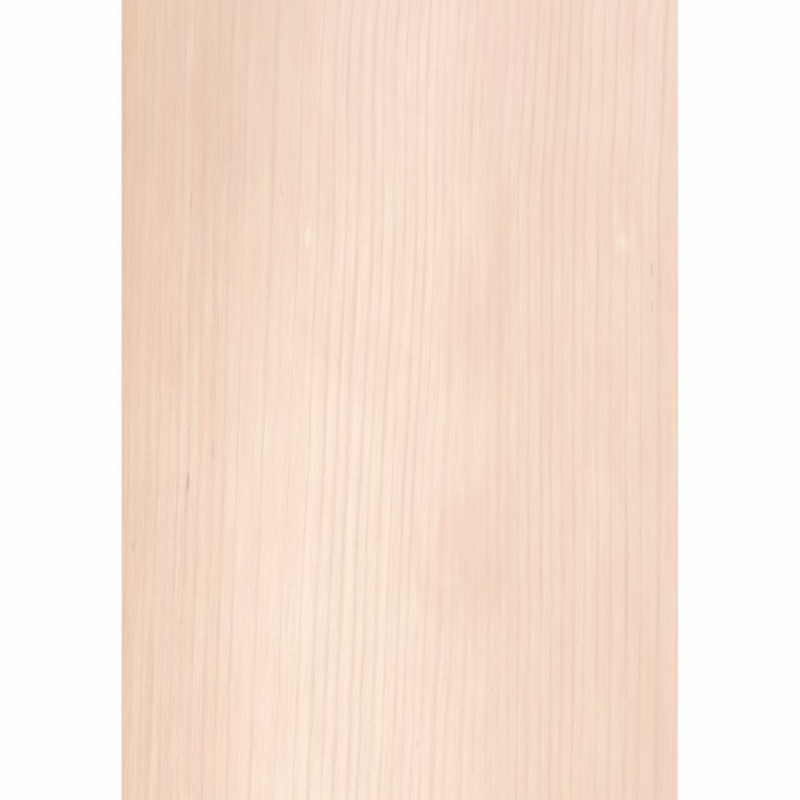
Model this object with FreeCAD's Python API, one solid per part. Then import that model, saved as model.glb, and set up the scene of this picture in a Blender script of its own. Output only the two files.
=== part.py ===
"""Paper-backed wood veneer sheet, in millimetres.

A single leaf of sliced maple is bonded over its whole face to a sheet of backer paper,
and the two are trimmed flush together. The sheet lies flat on its paper side.

Frame: the origin is the centre of the paper's underside. +X runs across the grain,
+Y along the grain, and +Z up through both layers to the show face.
"""

import FreeCAD
import Part
import os

INCH = 25.4
MIL = INCH / 1000  # the unit in which backer paper is sold

# The trimmed outline, which both layers share.
sheet_width = 12 * INCH  # across the grain
sheet_length = 24 * INCH  # along the grain

# The layers, from the bench up.
backer_thickness = 10 * MIL
veneer_thickness = 0.40  # the sliced leaf after its show face is sanded

PARTS_FOLDER = "parts"


def full_layer(bottom, thickness):
    """A square-cornered layer over the whole outline, with its underside at height bottom."""
    corner = FreeCAD.Vector(-sheet_width / 2, -sheet_length / 2, bottom)
    return Part.makeBox(sheet_width, sheet_length, thickness, corner)


def paper_backer():
    """The backer paper, which carries the leaf and is the side that is glued to a panel."""
    return full_layer(0, backer_thickness)


def wood_veneer():
    """The sliced leaf, bonded to the top of the paper, with the show face on top."""
    return full_layer(backer_thickness, veneer_thickness)


def main():
    os.makedirs(PARTS_FOLDER, exist_ok=True)
    for make_node in (paper_backer, wood_veneer):
        make_node().exportStep(os.path.join(PARTS_FOLDER, make_node.__name__ + ".step"))


main()
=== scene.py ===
"""Paper-backed wood veneer sheet: a sliced maple leaf on its backer paper, lying face up.

Sizes are in metres, as in the frame. The patterns in the wood and the paper are worked out in
millimetres from the centre of the sheet: x across the grain, y along it and z up.
"""

import math

import bpy
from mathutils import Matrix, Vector


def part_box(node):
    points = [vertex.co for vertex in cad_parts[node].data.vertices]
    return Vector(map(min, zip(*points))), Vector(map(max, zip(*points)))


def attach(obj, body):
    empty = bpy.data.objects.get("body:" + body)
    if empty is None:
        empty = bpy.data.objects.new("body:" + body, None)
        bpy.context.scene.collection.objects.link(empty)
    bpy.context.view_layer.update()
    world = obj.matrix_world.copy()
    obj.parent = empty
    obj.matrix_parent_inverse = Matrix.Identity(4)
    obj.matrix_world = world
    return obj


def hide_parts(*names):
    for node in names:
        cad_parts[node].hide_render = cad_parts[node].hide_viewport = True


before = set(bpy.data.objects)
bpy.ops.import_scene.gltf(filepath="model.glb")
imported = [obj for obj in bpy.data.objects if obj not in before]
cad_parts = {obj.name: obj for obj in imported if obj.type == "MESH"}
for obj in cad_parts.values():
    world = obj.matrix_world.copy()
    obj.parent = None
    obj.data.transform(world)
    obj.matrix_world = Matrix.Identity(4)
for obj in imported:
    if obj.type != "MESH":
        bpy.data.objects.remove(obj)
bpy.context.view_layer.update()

MM = 0.001

# The two layers, as the frame has them.
leaf_low, leaf_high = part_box("wood_veneer")
paper_low, paper_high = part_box("paper_backer")
sheet_width = leaf_high.x - leaf_low.x  # across the grain
sheet_length = leaf_high.y - leaf_low.y  # along the grain


# ---------------------------------------------------------------------------------------
# Shaping the two layers
# ---------------------------------------------------------------------------------------

cells_across = 48
cells_along = 96
cuts_in_rim_cell = 4

# The sheet isn't quite flat: it ripples as it takes up damp, most of all across the grain.
ripple_height = 0.5 * MM
ripple_across = 85 * MM
ripple_along = 260 * MM

# What the blade leaves: splintered fibres where it crosses the grain, and a cleaner cut along it.
splinter_depth = 0.30 * MM
splinter_width = 1.4 * MM
knife_wander = 0.10 * MM
knife_wander_length = 4 * MM
paper_share = 0.4  # paper cuts cleaner than wood
arris = 0.03 * MM  # the worn corner between a face and a cut edge
rim_reach = 0.01 * MM  # how near the outline a corner counts as on it
corner_turn = math.radians(60)  # edges that turn more than this are worn
shading_turn = math.radians(35)  # edges that turn less than this are shaded smooth
broad_face = 0.9  # how squarely a broad face looks up or down, where 1 is straight


def only(piece):
    """Makes the piece the only one selected, and the active one."""
    bpy.ops.object.select_all(action="DESELECT")
    piece.select_set(True)
    bpy.context.view_layer.objects.active = piece


def lay_grid(name, height):
    """A flat grid over the outline at one height, with finer steps round its rim."""
    bpy.ops.object.select_all(action="DESELECT")
    bpy.ops.mesh.primitive_grid_add(
        x_subdivisions=cells_across, y_subdivisions=cells_along, size=1, location=(0, 0, height)
    )
    piece = bpy.context.object
    piece.name = piece.data.name = name
    piece.scale = (sheet_width, sheet_length, 1)
    bpy.ops.object.transform_apply(location=True, rotation=True, scale=True)
    bpy.ops.object.mode_set(mode="EDIT")
    bpy.ops.mesh.select_mode(type="EDGE")
    bpy.ops.mesh.select_all(action="DESELECT")
    bpy.ops.mesh.select_non_manifold()
    bpy.ops.mesh.subdivide(number_cuts=cuts_in_rim_cell, ngon=False)
    bpy.ops.object.mode_set(mode="OBJECT")
    return piece


def roughen_rim(piece, axis, half, depth, grain, share):
    """Pushes the rim that faces one axis in and out, as the blade left it."""
    group = piece.vertex_groups.new(name="cut " + axis)
    side = "XY".index(axis)
    rim = [v.index for v in piece.data.vertices if abs(abs(v.co[side]) - half) < rim_reach]
    group.add(rim, 1.0, "REPLACE")
    pattern = bpy.data.textures.new("blade " + axis, "CLOUDS")
    pattern.noise_scale = grain
    pattern.noise_depth = 1
    push = piece.modifiers.new("blade", "DISPLACE")
    push.texture = pattern
    push.texture_coords = "LOCAL"
    push.vertex_group = group.name
    push.direction = axis
    push.strength = depth * share
    bpy.ops.object.modifier_apply(modifier=push.name)


def ripple(piece, pattern, ruler):
    """Lifts the piece a little here and there, by the same pattern as the other layer."""
    lift = piece.modifiers.new("ripple", "DISPLACE")
    lift.texture = pattern
    lift.texture_coords = "OBJECT"
    lift.texture_coords_object = ruler
    lift.direction = "Z"
    lift.strength = ripple_height
    bpy.ops.object.modifier_apply(modifier=lift.name)


def thicken(thickness):
    """Raises the active grid into a closed layer and wears its corners."""
    bpy.ops.object.mode_set(mode="EDIT")
    bpy.ops.mesh.select_all(action="SELECT")
    bpy.ops.mesh.extrude_region_move(TRANSFORM_OT_translate={"value": (0, 0, thickness)})
    bpy.ops.mesh.select_all(action="SELECT")
    bpy.ops.mesh.normals_make_consistent(inside=False)
    bpy.ops.mesh.select_all(action="DESELECT")
    bpy.ops.mesh.edges_select_sharp(sharpness=corner_turn)
    bpy.ops.mesh.bevel(offset=arris, segments=2, affect="EDGES")
    bpy.ops.object.mode_set(mode="OBJECT")
    bpy.ops.object.shade_smooth_by_angle(angle=shading_turn)


def cut_layer(name, low, high, share, pattern, ruler):
    """One layer of the sheet, from its flat outline to its worn corners."""
    piece = lay_grid(name, low.z)
    only(piece)
    roughen_rim(piece, "X", sheet_width / 2, knife_wander, knife_wander_length, share)
    roughen_rim(piece, "Y", sheet_length / 2, splinter_depth, splinter_width, share)
    ripple(piece, pattern, ruler)
    thicken(high.z - low.z)
    return piece


def settle(pieces):
    """Lowers the layers together until the lowest point lies on the floor."""
    lowest = min(v.co.z for piece in pieces for v in piece.data.vertices)
    for piece in pieces:
        only(piece)
        bpy.ops.object.mode_set(mode="EDIT")
        bpy.ops.mesh.select_all(action="SELECT")
        bpy.ops.transform.translate(value=(0, 0, -lowest))
        bpy.ops.object.mode_set(mode="OBJECT")


def dress(piece, face, cut_edge):
    """One finish on the two broad faces and another on the cut edges."""
    piece.data.materials.clear()
    piece.data.materials.append(face)
    piece.data.materials.append(cut_edge)
    for polygon in piece.data.polygons:
        polygon.material_index = 0 if abs(polygon.normal.z) > broad_face else 1


# ---------------------------------------------------------------------------------------
# Wiring of the finishes
# ---------------------------------------------------------------------------------------


def srgb(red, green, blue):
    """A colour given from 0 to 255, as the light that a shader works in."""
    light = []
    for value in (red, green, blue):
        share = value / 255
        light.append(share / 12.92 if share <= 0.04045 else ((share + 0.055) / 1.055) ** 2.4)
    return (*light, 1.0)


def wire(tree, socket, value):
    """Gives an input another node's output, or a fixed value."""
    if isinstance(value, bpy.types.NodeSocket):
        tree.links.new(value, socket)
    else:
        socket.default_value = value


def put(tree, kind, inputs=None, **settings):
    """Adds a node with its settings and inputs."""
    node = tree.nodes.new(kind)
    for name, value in settings.items():
        setattr(node, name, value)
    for name, value in (inputs or {}).items():
        wire(tree, node.inputs[name], value)
    return node


def maths(tree, operation, *values):
    """The result of one sum."""
    node = put(tree, "ShaderNodeMath", operation=operation)
    for socket, value in zip(node.inputs, values):
        wire(tree, socket, value)
    return node.outputs[0]


def total(tree, *values):
    """All the values added up."""
    result = values[0]
    for value in values[1:]:
        result = maths(tree, "ADD", result, value)
    return result


def times(tree, *values):
    """All the values multiplied together."""
    result = values[0]
    for value in values[1:]:
        result = maths(tree, "MULTIPLY", result, value)
    return result


def less(tree, value, taken):
    """The value with another taken from it."""
    return maths(tree, "SUBTRACT", value, taken)


def ramp(tree, value, start, end, low=0.0, high=1.0):
    """Turns start to end into low to high, eased at both ends and held level past them."""
    node = put(
        tree,
        "ShaderNodeMapRange",
        {"Value": value, "From Min": start, "From Max": end, "To Min": low, "To Max": high},
        interpolation_type="SMOOTHERSTEP",
    )
    return node.outputs["Result"]


def share_of(tree, value, start, end):
    """How far the value is from start to end, even where it is past them."""
    node = put(
        tree,
        "ShaderNodeMapRange",
        {"Value": value, "From Min": start, "From Max": end},
        clamp=False,
    )
    return node.outputs["Result"]


def curve(tree, value, points):
    """Reads a smooth curve through the points at value. It is held level past its ends."""
    node = put(tree, "ShaderNodeFloatCurve", {"Value": value})
    mapping = node.mapping
    mapping.use_clip = False
    mapping.extend = "HORIZONTAL"
    line = mapping.curves[0]
    while len(line.points) < len(points):
        line.points.new(*points[-1])
    for spot, place in zip(line.points, points):
        spot.location = place
        spot.handle_type = "AUTO_CLAMPED"
    mapping.update()
    return node.outputs[0]


def noise(tree, vector, detail=1.0):
    """Soft noise about zero, which seldom passes one either way."""
    node = put(
        tree, "ShaderNodeTexNoise", {"Vector": vector, "Scale": 1.0, "Detail": detail}, normalize=False
    )
    return node.outputs["Fac"]


def stretched(tree, vector, across, along, through, shift=0.0):
    """Places measured in grains of the given width, length and depth, all in millimetres."""
    node = put(
        tree,
        "ShaderNodeMapping",
        {
            "Vector": vector,
            "Location": (shift, 1.7 * shift, 0.6 * shift),
            "Scale": (1 / across, 1 / along, 1 / through),
        },
    )
    return node.outputs[0]


def parts_of(tree, vector):
    """The x, y and z of a vector."""
    return put(tree, "ShaderNodeSeparateXYZ", {"Vector": vector}).outputs


def vector_of(tree, x, y, z=0.0):
    """A vector from its x, y and z."""
    return put(tree, "ShaderNodeCombineXYZ", {"X": x, "Y": y, "Z": z}).outputs[0]


def blend(tree, factor, first, second):
    """A colour between two others. A factor below zero goes past the first one."""
    node = put(tree, "ShaderNodeMix", data_type="RGBA", clamp_factor=False)
    colours = [socket for socket in node.inputs if socket.type == "RGBA"]
    wire(tree, node.inputs["Factor"], factor)
    wire(tree, colours[0], first)
    wire(tree, colours[1], second)
    return next(socket for socket in node.outputs if socket.type == "RGBA")


def new_group(name, inputs, outputs):
    """A shader node group with its named inputs, given with their usual values, and outputs."""
    tree = bpy.data.node_groups.new(name, "ShaderNodeTree")
    for label, usual in inputs.items():
        kind = "NodeSocketFloat" if isinstance(usual, float) else "NodeSocketVector"
        socket = tree.interface.new_socket(label, in_out="INPUT", socket_type=kind)
        socket.default_value = usual
    for label, kind in outputs.items():
        tree.interface.new_socket(label, in_out="OUTPUT", socket_type="NodeSocket" + kind)
    given = tree.nodes.new("NodeGroupInput").outputs
    result = tree.nodes.new("NodeGroupOutput").inputs
    return tree, given, result


def use(tree, group, inputs):
    """Places a group in a tree and returns its outputs."""
    node = tree.nodes.new("ShaderNodeGroup")
    node.node_tree = group
    for name, value in inputs.items():
        wire(tree, node.inputs[name], value)
    return node.outputs


def new_material(name):
    """An empty material, its node tree, its shader and the place on the sheet in millimetres."""
    material = bpy.data.materials.new(name)
    material.use_nodes = True
    tree = material.node_tree
    tree.nodes.clear()
    shader = put(tree, "ShaderNodeBsdfPrincipled")
    put(tree, "ShaderNodeOutputMaterial", {"Surface": shader.outputs[0]})
    place = put(tree, "ShaderNodeTexCoord").outputs["Object"]
    return material, tree, shader, stretched(tree, place, MM, MM, MM)


def relief(tree, shader, height, depth):
    """Gives the shader a relief that is the given depth, in metres, for each unit of height."""
    bump = put(tree, "ShaderNodeBump", {"Height": height, "Distance": depth})
    wire(tree, shader.inputs["Normal"], bump.outputs[0])


# ---------------------------------------------------------------------------------------
# Wood
# ---------------------------------------------------------------------------------------

# How far the grain has drifted to the right, in mm, at each y along the sheet.
LEFT_DRIFT = [(-305, -7.5), (-210, -6), (0, 0), (100, 1.5), (219, 4), (305, 6)]
MIDDLE_DRIFT = [(-305, -14), (-210, -9.5), (0, 0), (100, 4.6), (180, 5.6), (219, 7.5), (305, 12)]
RIGHT_DRIFT = [(-305, -3), (-210, -1.5), (-100, 0), (100, 0), (160, 2.5), (219, 5), (305, 8)]
LEFT_TO_MIDDLE = (-110, -60)  # the x from which, and at which, the middle's drift takes over
MIDDLE_TO_RIGHT = (10, 50)

# The grain also wanders in long and in short waves: width, length and depth, then reach, in mm.
LONG_WAVES, LONG_REACH = (60, 140, 200), 0.9
SHORT_WAVES, SHORT_REACH = (22, 45, 60), 0.45

# Growth rings counted from the left edge, at each x in mm.
RINGS_ACROSS = [
    (-165, -2.0), (-152, 0.0), (-92, 10.0), (-52, 13.2), (0, 20.8),
    (33, 26.8), (88, 36.3), (120, 41.1), (152, 44.5), (165, 45.8),
]

# How strongly a ring's latewood line shows, at each x in mm.
LINE_STRENGTH = [
    (-152, 0.75), (-100, 0.80), (-84, 1.0), (5, 1.0),
    (25, 0.60), (60, 0.65), (75, 1.0), (152, 0.95),
]
LINE_LEVELS = 8.6  # how much darker a full line is than the wood round it
LINE_HALF_WIDTH = (1.4, 2.0)  # the narrowest and widest, in mm
RING_UNEVENNESS = 0.32  # how far a line strays from its place, in rings
RING_UNEVENNESS_WIDTH = 12  # mm
RING_PLAIN = 0.78  # the least strength of a ring's line, before it fades
RING_SPREAD = 0.18  # how much stronger some rings are than others
RING_FADE, RING_FADE_LENGTH = 0.36, 60  # how much a line comes and goes, and over how many mm
RING_APART = 5.3  # rings are this far apart in the noise, so each one fades by itself

# How strongly the fibres between the lines show, at each x in mm.
FIBRE_STRENGTH = [(-152, 1.8), (-102, 1.7), (-86, 1.0), (152, 1.05)]

# Fibres in sheaves of several sizes: width and length in mm, and how strong they are.
SHADE_FIBRES = [(3.0, 170.0, 3.0), (1.1, 35.0, 4.0), (0.5, 6.0, 3.6), (0.55, 1.8, 3.4)]
ROSY_FIBRES = [(9.0, 75.0, 3.0), (3.6, 24.0, 1.6)]
WARM_FIBRES = [(11.0, 65.0, 3.4), (4.2, 22.0, 1.8)]
RAISED_FIBRES = [(1.1, 35.0, -0.6), (0.5, 6.0, -1.0)]
LATEWOOD_RISE = 0.4  # the denser lines stand proud once the face is sanded
MEAN_SHADE = 2.0  # what the lines take from the wood's mean tone

# The wood's tone, in levels of lightness, at each x in mm at the top and the bottom of the sheet.
TOP_TONE = [
    (-152, -15), (-118, -12.8), (-100, -13.4), (-88, -11), (-75, -9), (-30, 0.5),
    (10, 2.8), (50, -1.6), (80, -1.8), (118, -1.2), (152, -6),
]
BOTTOM_TONE = [
    (-152, -8), (-120, -1.2), (-99, -1), (-90, 3.6), (-75, 6.2), (-32, 10.5),
    (-5, 9.8), (32, 5), (54, 1), (80, -0.3), (118, -1.8), (152, -6),
]
TONE_LAG = [(-145, 50), (-100, 0)]  # how much further down the top's tone reaches, in mm
TOP_REACH = (-80, 260)  # the y where the top's tone starts, and where it has taken over
CLOUD_LEVELS = 2.0  # how strongly the tone drifts here and there
CLOUD_SIZE = (24, 70, 60)  # mm
LIGHTEST, DARKEST = 12, -18  # the levels of the two colours below
CREAM = srgb(252.3, 230, 212.5)
TAN = srgb(233.3, 197.5, 173.5)

LATEWOOD = srgb(217, 186, 168)
LATEWOOD_LEVELS = 30  # how much darker than the wood round it that is
BLUSH = srgb(241, 203, 182)
MINERAL = srgb(172, 142, 120)
# A painted highlight: the colour given to the streaks where the fibres catch the light.
PAINTED_SHEEN = srgb(255, 242, 228)

TOP_ROSE = [(-152, -1.5), (-90, 0), (20, 2.2), (152, 1.2)]  # how much rosier the top is, at each x
TOP_ROSE_REACH = (80, 210)  # the y where that starts, and where it is full
TOP_COOL = -3.2  # how much warmer the top is, which is cooler here
TOP_COOL_REACH = (40, 230)
# How much warmer the whole length is, at each x in mm.
WARMTH = [(-152, 1), (-105, 1.4), (-85, 0), (95, 0), (125, -1.2), (152, -2.6)]
WARM_APART = 400  # the warm bands are read this many mm away from the rosy ones

# The turn of hue, and the change of saturation, that move the colour by one level.
LEVEL_OF_HUE = 0.0038
LEVEL_OF_SATURATION = 0.021

# Mineral streaks: x, y, half length and half width in mm, lean to the right going up, strength.
MINERAL_STREAKS = [
    (-114.6, 108.0, 9.6, 0.8, 0.02, 0.22),
    (-99.8, 43.8, 21.9, 0.8, 0.03, 0.20),
    (-102.6, -27.4, 8.2, 0.8, 0.03, 0.28),
    (-116.2, -45.7, 8.0, 1.0, 0.02, 0.42),
    (-146.3, -80.9, 4.8, 0.8, 0.02, 0.30),
    (-64.8, 114.9, 5.8, 0.8, -0.15, 0.26),
    (138.1, 71.1, 6.0, 0.8, 0.0, 0.32),
    (138.1, 50.6, 4.6, 0.7, 0.0, 0.28),
    (15.0, 72.5, 4.5, 0.7, 0.05, 0.20),
    (58.8, 19.1, 2.4, 0.7, 0.0, 0.22),
    (50.6, -158.6, 2.6, 0.7, 0.0, 0.20),
    (9.6, -188.7, 3.4, 0.7, 0.0, 0.18),
    (-31.0, 262.0, 7.0, 0.8, 0.05, 0.32),
    (92.0, -251.0, 9.0, 0.8, 0.0, 0.28),
    (-120.0, -268.0, 12.0, 0.8, 0.02, 0.25),
]

# Painted highlights: lighter streaks painted into the colour where the fibres dip and catch the light,
# in the same terms.
PAINTED_SHEEN_STREAKS = [
    (-50.2, 89.5, 9.0, 3.2, 0.0, 0.56),
    (120.5, 87.0, 7.0, 4.6, 0.10, 0.28),
    (124.0, 85.0, 5.0, 4.0, 0.0, 0.22),
    (118.5, 101.0, 12.0, 2.6, 0.0, 0.26),
    (-28.7, 114.9, 16.0, 2.4, 0.03, 0.22),
    (4.1, 176.7, 16.0, 2.8, 0.02, 0.26),
    (12.3, 188.0, 12.0, 2.2, 0.02, 0.20),
    (-47.0, -262.0, 9.0, 2.8, 0.02, 0.35),
]

# Blushes: soft, slightly pinker patches, in the same terms.
BLUSHES = [
    (53.0, 55.0, 80.0, 18.0, 0.03, 0.27),
    (30.0, 45.0, 55.0, 18.0, 0.03, 0.21),
    (-20.0, 25.0, 42.0, 62.0, 0.0, 0.13),
    (38.0, -90.0, 56.0, 36.0, 0.02, 0.38),
    (-148.0, 60.0, 90.0, 9.0, 0.02, 0.20),
    (-136.0, -90.0, 85.0, 24.0, 0.02, 0.13),
    (136.0, -175.0, 75.0, 24.0, 0.0, 0.20),
    (20.0, 275.0, 50.0, 26.0, 0.0, 0.25),
    (-60.0, -285.0, 45.0, 24.0, 0.02, 0.22),
]

# The rim of a streak or patch: chips in it for each half width and half length, how deep they
# cut, and how far out from the middle the fading starts.
CHIPS_ACROSS, CHIPS_ALONG = 3.2, 1.2
RAGGEDNESS = 0.55
FADE_START = 0.15

FACE_RELIEF = 0.008 * MM
CUT_EDGE_RELIEF = 0.03 * MM


def make_grain_group():
    """Straightens the grain: x in the result follows one growth line along the whole sheet."""
    tree, given, result = new_group("grain run", {"Place": (0.0, 0.0, 0.0)}, {"Run": "Vector"})
    x, y, z = parts_of(tree, given["Place"])
    left = curve(tree, y, LEFT_DRIFT)
    middle = curve(tree, y, MIDDLE_DRIFT)
    right = curve(tree, y, RIGHT_DRIFT)
    to_middle = ramp(tree, x, *LEFT_TO_MIDDLE)
    to_right = ramp(tree, x, *MIDDLE_TO_RIGHT)
    drift = total(
        tree,
        left,
        times(tree, to_middle, less(tree, middle, left)),
        times(tree, to_right, less(tree, right, middle)),
    )
    long_waves = noise(tree, stretched(tree, given["Place"], *LONG_WAVES))
    short_waves = noise(tree, stretched(tree, given["Place"], *SHORT_WAVES, shift=4))
    wander = total(
        tree, times(tree, long_waves, LONG_REACH), times(tree, short_waves, SHORT_REACH)
    )
    across = total(tree, less(tree, x, drift), wander)
    wire(tree, result["Run"], vector_of(tree, across, y, z))
    return tree


def make_ring_group():
    """The thin dark latewood lines of the growth rings, from none at 0 to a full line at 1."""
    tree, given, result = new_group("growth rings", {"Run": (0.0, 0.0, 0.0)}, {"Latewood": "Float"})
    x, y = parts_of(tree, given["Run"])[:2]
    pitches = []
    for (x0, rings0), (x1, rings1) in zip(RINGS_ACROSS, RINGS_ACROSS[1:]):
        pitches.append(((x0 + x1) / 2, (x1 - x0) / (rings1 - rings0)))
    pitch = curve(tree, x, pitches)
    uneven = noise(tree, vector_of(tree, times(tree, x, 1 / RING_UNEVENNESS_WIDTH), 0.0))
    count = total(tree, curve(tree, x, RINGS_ACROSS), times(tree, uneven, RING_UNEVENNESS))
    ring = maths(tree, "FLOOR", count)
    off_line = maths(tree, "ABSOLUTE", less(tree, maths(tree, "FRACT", count), 0.5))
    random = put(tree, "ShaderNodeTexWhiteNoise", {"W": ring}, noise_dimensions="1D").outputs["Value"]
    narrow, wide = LINE_HALF_WIDTH
    half_width = total(tree, narrow, times(tree, random, wide - narrow))
    line = ramp(tree, times(tree, off_line, pitch), 0, half_width, 1, 0)
    along_ring = times(tree, y, 1 / RING_FADE_LENGTH)
    fade = noise(tree, vector_of(tree, times(tree, ring, RING_APART), along_ring), 2.0)
    strength = total(
        tree, RING_PLAIN, times(tree, random, RING_SPREAD), times(tree, fade, RING_FADE)
    )
    strength = times(tree, strength, curve(tree, x, LINE_STRENGTH))
    wire(tree, result["Latewood"], times(tree, line, strength))
    return tree


def make_fibre_group():
    """Fibres: streaks of one width and length along the grain, about zero."""
    tree, given, result = new_group(
        "fibres", {"Run": (0.0, 0.0, 0.0), "Width": 1.0, "Length": 30.0}, {"Streaks": "Float"}
    )
    x, y, z = parts_of(tree, given["Run"])
    place = vector_of(
        tree,
        maths(tree, "DIVIDE", x, given["Width"]),
        maths(tree, "DIVIDE", y, given["Length"]),
        maths(tree, "DIVIDE", z, given["Width"]),
    )
    wire(tree, result["Streaks"], noise(tree, place))
    return tree


def sheaves(tree, fibres, run, sizes):
    """Fibres of several sizes together, each at its own strength."""
    layers = []
    for width, length, strength in sizes:
        streaks = use(tree, fibres, {"Run": run, "Width": width, "Length": length})["Streaks"]
        layers.append(times(tree, streaks, strength))
    return total(tree, *layers)


def shift_hue(tree, fibres, run, colour):
    """Turns the wood rosier or greener, and warmer or cooler, in long soft bands."""
    x, y = parts_of(tree, run)[:2]
    rosy_top = times(tree, ramp(tree, y, *TOP_ROSE_REACH), curve(tree, x, TOP_ROSE))
    rosy = total(tree, rosy_top, sheaves(tree, fibres, run, ROSY_FIBRES))
    elsewhere = stretched(tree, run, 1, 1, 1, shift=WARM_APART)
    cool_top = ramp(tree, y, *TOP_COOL_REACH, 0, TOP_COOL)
    warm_bands = sheaves(tree, fibres, elsewhere, WARM_FIBRES)
    warm = total(tree, cool_top, curve(tree, x, WARMTH), warm_bands)
    shifted = put(
        tree,
        "ShaderNodeHueSaturation",
        {
            "Hue": less(tree, 0.5, times(tree, rosy, LEVEL_OF_HUE)),
            "Saturation": total(tree, 1.0, times(tree, warm, LEVEL_OF_SATURATION)),
            "Color": colour,
        },
    )
    return shifted.outputs[0]


def make_figure_group(grain, rings, fibres):
    """The maple's figure: its colour, and how its surface rises over the lines and fibres."""
    tree, given, result = new_group(
        "maple figure", {"Place": (0.0, 0.0, 0.0)}, {"Colour": "Color", "Rise": "Float"}
    )
    run = use(tree, grain, {"Place": given["Place"]})["Run"]
    x, y = parts_of(tree, run)[:2]
    latewood = use(tree, rings, {"Run": run})["Latewood"]

    top, bottom = curve(tree, x, TOP_TONE), curve(tree, x, BOTTOM_TONE)
    to_top = ramp(tree, total(tree, y, curve(tree, x, TONE_LAG)), *TOP_REACH)
    clouds = noise(tree, stretched(tree, run, *CLOUD_SIZE, shift=9), 2.0)
    clouds = times(tree, clouds, CLOUD_LEVELS)
    tone = total(tree, bottom, times(tree, to_top, less(tree, top, bottom)), clouds)
    ground = blend(tree, share_of(tree, tone, LIGHTEST, DARKEST), CREAM, TAN)
    ground = shift_hue(tree, fibres, run, ground)

    fibre_shade = sheaves(tree, fibres, run, SHADE_FIBRES)
    fibre_shade = times(tree, fibre_shade, curve(tree, x, FIBRE_STRENGTH))
    shade = total(tree, times(tree, latewood, LINE_LEVELS), fibre_shade, -MEAN_SHADE)
    wire(tree, result["Colour"], blend(tree, times(tree, shade, 1 / LATEWOOD_LEVELS), ground, LATEWOOD))
    raised = sheaves(tree, fibres, run, RAISED_FIBRES)
    wire(tree, result["Rise"], total(tree, raised, times(tree, latewood, LATEWOOD_RISE)))
    return tree


def make_streak_group():
    """One streak or patch on the face, from 1 at its middle to 0 at its feathered rim."""
    tree, given, result = new_group(
        "single streak",
        {
            "Place": (0.0, 0.0, 0.0),
            "X": 0.0,
            "Y": 0.0,
            "Half Length": 5.0,
            "Half Width": 1.0,
            "Lean": 0.0,
        },
        {"Streak": "Float"},
    )
    x, y = parts_of(tree, given["Place"])[:2]
    up = less(tree, y, given["Y"])
    across = less(tree, less(tree, x, given["X"]), times(tree, up, given["Lean"]))
    off_across = maths(tree, "DIVIDE", across, given["Half Width"])
    off_along = maths(tree, "DIVIDE", up, given["Half Length"])
    off = total(tree, times(tree, off_across, off_across), times(tree, off_along, off_along))
    chips_across = times(tree, off_across, CHIPS_ACROSS)
    chips_along = times(tree, off_along, CHIPS_ALONG)
    chips = noise(tree, vector_of(tree, chips_across, chips_along, given["X"]), 2.0)
    ragged = times(tree, chips, RAGGEDNESS)
    reach = total(tree, maths(tree, "SQRT", off), ragged)
    wire(tree, result["Streak"], ramp(tree, reach, FADE_START, 1.0, 1, 0))
    return tree


def all_streaks(tree, group, place, streaks):
    """The streaks of a list, each at its own strength, as one value."""
    marks = []
    for x, y, half_length, half_width, lean, strength in streaks:
        settings = {
            "Place": place,
            "X": x,
            "Y": y,
            "Half Length": half_length,
            "Half Width": half_width,
            "Lean": lean,
        }
        marks.append(times(tree, use(tree, group, settings)["Streak"], strength))
    return total(tree, *marks)


def make_maple_face(figure, streak):
    """The raw, sanded show face."""
    material, tree, shader, place = new_material("maple_face")
    maple = use(tree, figure, {"Place": place})
    colour = blend(tree, all_streaks(tree, streak, place, BLUSHES), maple["Colour"], BLUSH)
    # Painted highlight: lighter streaks where the fibres catch the light.
    colour = blend(tree, all_streaks(tree, streak, place, PAINTED_SHEEN_STREAKS), colour, PAINTED_SHEEN)
    colour = blend(tree, all_streaks(tree, streak, place, MINERAL_STREAKS), colour, MINERAL)
    wire(tree, shader.inputs["Base Color"], colour)
    wire(tree, shader.inputs["Roughness"], total(tree, 0.6, times(tree, maple["Rise"], 0.05)))
    shader.inputs["Specular IOR Level"].default_value = 0.4
    relief(tree, shader, maple["Rise"], FACE_RELIEF)
    return material


def make_maple_cut_edge(figure, fibres):
    """Bare fibres where the leaf was trimmed: the same wood, rougher and a little darker."""
    material, tree, shader, place = new_material("maple_cut_edge")
    maple = use(tree, figure, {"Place": place})
    ends = use(tree, fibres, {"Run": place, "Width": 0.25, "Length": 0.3})["Streaks"]
    dark = ramp(tree, ends, -0.7, 0.7, 0.25, 0.6)
    wire(tree, shader.inputs["Base Color"], blend(tree, dark, maple["Colour"], MINERAL))
    wire(tree, shader.inputs["Roughness"], total(tree, 0.85, times(tree, ends, 0.08)))
    relief(tree, shader, ends, CUT_EDGE_RELIEF)
    return material


# ---------------------------------------------------------------------------------------
# Backer paper
# ---------------------------------------------------------------------------------------

PAPER = srgb(215, 197, 169)
PAPER_DARK = srgb(196, 174, 142)
PAPER_LIGHT = srgb(232, 219, 197)
SPECK = srgb(128, 98, 70)

PULP_CLOUDS = (7, 9, 7)  # their width, length and depth, in mm
MACHINE_FIBRES = {"Width": 0.5, "Length": 4.0}  # the fibres that lie the way the paper was run
CROSS_FIBRES = {"Width": 0.4, "Length": 2.5}
CROSS_TURN = math.radians(68)  # how far the cross fibres are turned from the run
SPECK_SPACING = (5, 6, 5)  # mm
SPECK_RIM = (0.03, 0.07)  # where a speck starts to fade and has gone, in spacings
BARE_SHARE = 0.8  # how many of the places for a speck stay bare

PAPER_RELIEF = 0.03 * MM
PAPER_EDGE_RELIEF = 0.06 * MM


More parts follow.
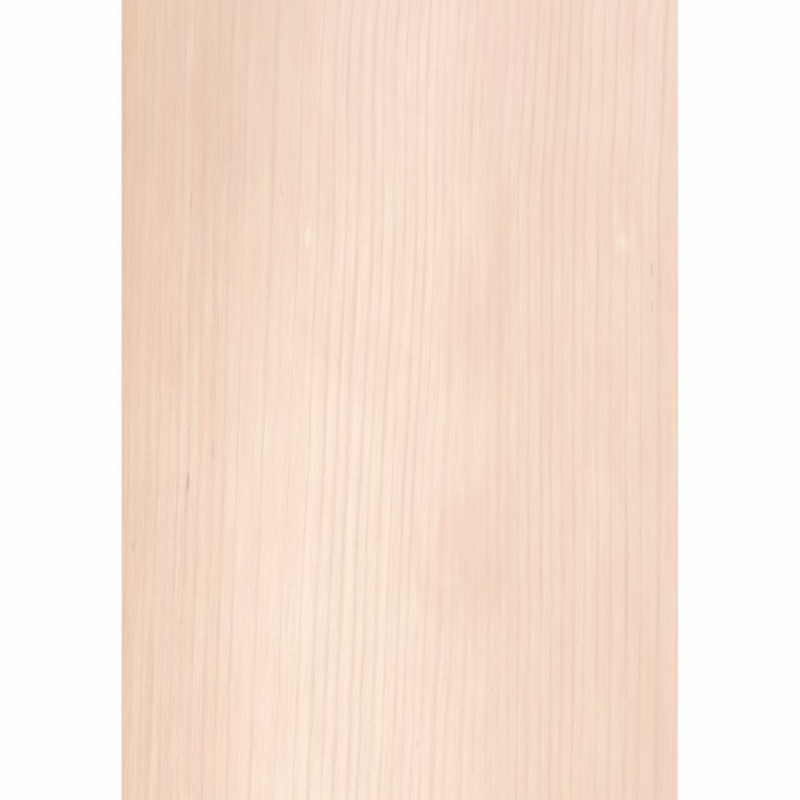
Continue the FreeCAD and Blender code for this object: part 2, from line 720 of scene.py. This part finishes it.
def make_paper_group(fibres):
    """Unbleached paper: cloudy where its pulp lies thicker, with fibres and a few bark specks."""
    tree, given, result = new_group(
        "paper stock", {"Place": (0.0, 0.0, 0.0)}, {"Colour": "Color", "Rise": "Float"}
    )
    place = given["Place"]
    clouds = noise(tree, stretched(tree, place, *PULP_CLOUDS), 3.0)
    run_of_machine = use(tree, fibres, {"Run": place, **MACHINE_FIBRES})["Streaks"]
    turned = put(
        tree, "ShaderNodeMapping", {"Vector": place, "Rotation": (0.0, 0.0, CROSS_TURN)}
    ).outputs[0]
    cross = use(tree, fibres, {"Run": turned, **CROSS_FIBRES})["Streaks"]
    pulp = total(tree, times(tree, run_of_machine, 0.22), times(tree, cross, 0.18))
    colour = blend(tree, total(tree, times(tree, clouds, 0.28), pulp), PAPER, PAPER_DARK)
    colour = blend(tree, ramp(tree, cross, 0.35, 0.8, 0.0, 0.5), colour, PAPER_LIGHT)
    spots = stretched(tree, place, *SPECK_SPACING)
    cells = put(tree, "ShaderNodeTexVoronoi", {"Vector": spots, "Scale": 1.0})
    speck = ramp(tree, cells.outputs["Distance"], *SPECK_RIM, 1, 0)
    kept = maths(tree, "GREATER_THAN", parts_of(tree, cells.outputs["Color"])[0], BARE_SHARE)
    colour = blend(tree, times(tree, speck, kept, 0.6), colour, SPECK)
    wire(tree, result["Colour"], colour)
    wire(tree, result["Rise"], total(tree, pulp, times(tree, clouds, 0.15)))
    return tree


def make_backer_paper(stock):
    """The broad faces of the paper, pressed smooth."""
    material, tree, shader, place = new_material("backer_paper")
    paper = use(tree, stock, {"Place": place})
    wire(tree, shader.inputs["Base Color"], paper["Colour"])
    wire(tree, shader.inputs["Roughness"], total(tree, 0.78, times(tree, paper["Rise"], 0.1)))
    shader.inputs["Specular IOR Level"].default_value = 0.35
    relief(tree, shader, paper["Rise"], PAPER_RELIEF)
    return material


def make_paper_cut_edge(stock):
    """The paper's trimmed edge, open and a little darker."""
    material, tree, shader, place = new_material("paper_cut_edge")
    paper = use(tree, stock, {"Place": place})
    wire(tree, shader.inputs["Base Color"], blend(tree, 0.35, paper["Colour"], PAPER_DARK))
    shader.inputs["Roughness"].default_value = 0.95
    relief(tree, shader, paper["Rise"], PAPER_EDGE_RELIEF)
    return material


# ---------------------------------------------------------------------------------------
# Floor, light and camera
# ---------------------------------------------------------------------------------------

# A colour renders about as it is written where these two add up to nearly one.
room_light = 0.68
window_light = 0.285
window_spread = math.radians(30)  # how wide the window looks from the sheet
towards_window = Vector((1.0, 0.6, 1.9)).normalized()

floor_size = 40.0
floor_grey = 0.8
floor_drop = 0.01 * MM  # keeps the floor just clear of the paper's underside
backdrop = 0.99  # how bright the room and the floor look

view_to_sheet = 1.440  # how many sheet widths the view takes in


def seen_directly(tree):
    """1 where the eye, a reflection or a clear material looks, and 0 for light on a surface."""
    path = put(tree, "ShaderNodeLightPath").outputs
    seen = path["Is Camera Ray"]
    for kind in ("Is Glossy Ray", "Is Transmission Ray"):
        seen = maths(tree, "MAXIMUM", seen, path[kind])
    return seen


def make_room():
    """A pale room: plain white to look at, and dimmer as a source of light."""
    world = bpy.data.worlds.new("room")
    world.use_nodes = True
    bpy.context.scene.world = world
    tree = world.node_tree
    tree.nodes.clear()
    strength = total(tree, room_light, times(tree, seen_directly(tree), backdrop - room_light))
    back = put(tree, "ShaderNodeBackground", {"Color": (1, 1, 1, 1), "Strength": strength})
    put(tree, "ShaderNodeOutputWorld", {"Surface": back.outputs[0]})


def make_floor():
    """A white floor that still takes the sheet's shadow."""
    material = bpy.data.materials.new("pale_floor")
    material.use_nodes = True
    tree = material.node_tree
    tree.nodes.clear()
    matt = put(tree, "ShaderNodeBsdfDiffuse", {"Color": (floor_grey, floor_grey, floor_grey, 1)})
    missing = backdrop - floor_grey * (room_light + window_light)
    lift = times(tree, seen_directly(tree), missing)
    glow = put(tree, "ShaderNodeEmission", {"Color": (1, 1, 1, 1), "Strength": lift})
    both = put(tree, "ShaderNodeAddShader")
    wire(tree, both.inputs[0], matt.outputs[0])
    wire(tree, both.inputs[1], glow.outputs[0])
    put(tree, "ShaderNodeOutputMaterial", {"Surface": both.outputs[0]})
    bpy.ops.object.select_all(action="DESELECT")
    bpy.ops.mesh.primitive_plane_add(size=floor_size, location=(0, 0, -floor_drop))
    floor = bpy.context.object
    floor.name = "floor"
    floor.data.materials.append(material)


def make_window():
    """A broad, soft, even light from the upper right."""
    light = bpy.data.lights.new("window", "SUN")
    light.angle = window_spread
    light.energy = window_light * math.pi / towards_window.z
    window = bpy.data.objects.new("window", light)
    window.rotation_euler = towards_window.to_track_quat("Z", "Y").to_euler()
    bpy.context.scene.collection.objects.link(window)


def make_camera():
    """Straight above the middle of the sheet, whose two ends are out of view."""
    lens = bpy.data.cameras.new("camera")
    lens.lens = 85
    lens.sensor_width = 36
    camera = bpy.data.objects.new("camera", lens)
    distance = view_to_sheet * sheet_width * lens.lens / lens.sensor_width
    camera.location = (0, 0, leaf_high.z + distance)
    bpy.context.scene.collection.objects.link(camera)
    bpy.context.scene.camera = camera


def make_sheet():
    """The two bonded layers, shaped together and finished apart."""
    pattern = bpy.data.textures.new("ripple", "CLOUDS")
    pattern.noise_scale = 1.0
    pattern.noise_depth = 1
    ruler = bpy.data.objects.new("ruler", None)
    ruler.scale = (ripple_across, ripple_along, 1)
    bpy.context.scene.collection.objects.link(ruler)
    bpy.context.view_layer.update()
    leaf = cut_layer("maple_veneer", leaf_low, leaf_high, 1.0, pattern, ruler)
    paper = cut_layer("backer_sheet", paper_low, paper_high, paper_share, pattern, ruler)
    settle([leaf, paper])
    bpy.data.objects.remove(ruler)

    fibres = make_fibre_group()
    figure = make_figure_group(make_grain_group(), make_ring_group(), fibres)
    stock = make_paper_group(fibres)
    dress(leaf, make_maple_face(figure, make_streak_group()), make_maple_cut_edge(figure, fibres))
    dress(paper, make_backer_paper(stock), make_paper_cut_edge(stock))

    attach(leaf, "root")
    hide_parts("wood_veneer")
    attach(paper, "root")
    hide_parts("paper_backer")


def main():
    """The sheet, and the room it lies in."""
    make_sheet()
    make_room()
    make_floor()
    make_window()
    make_camera()
    bpy.context.scene.view_settings.view_transform = "Standard"


main()
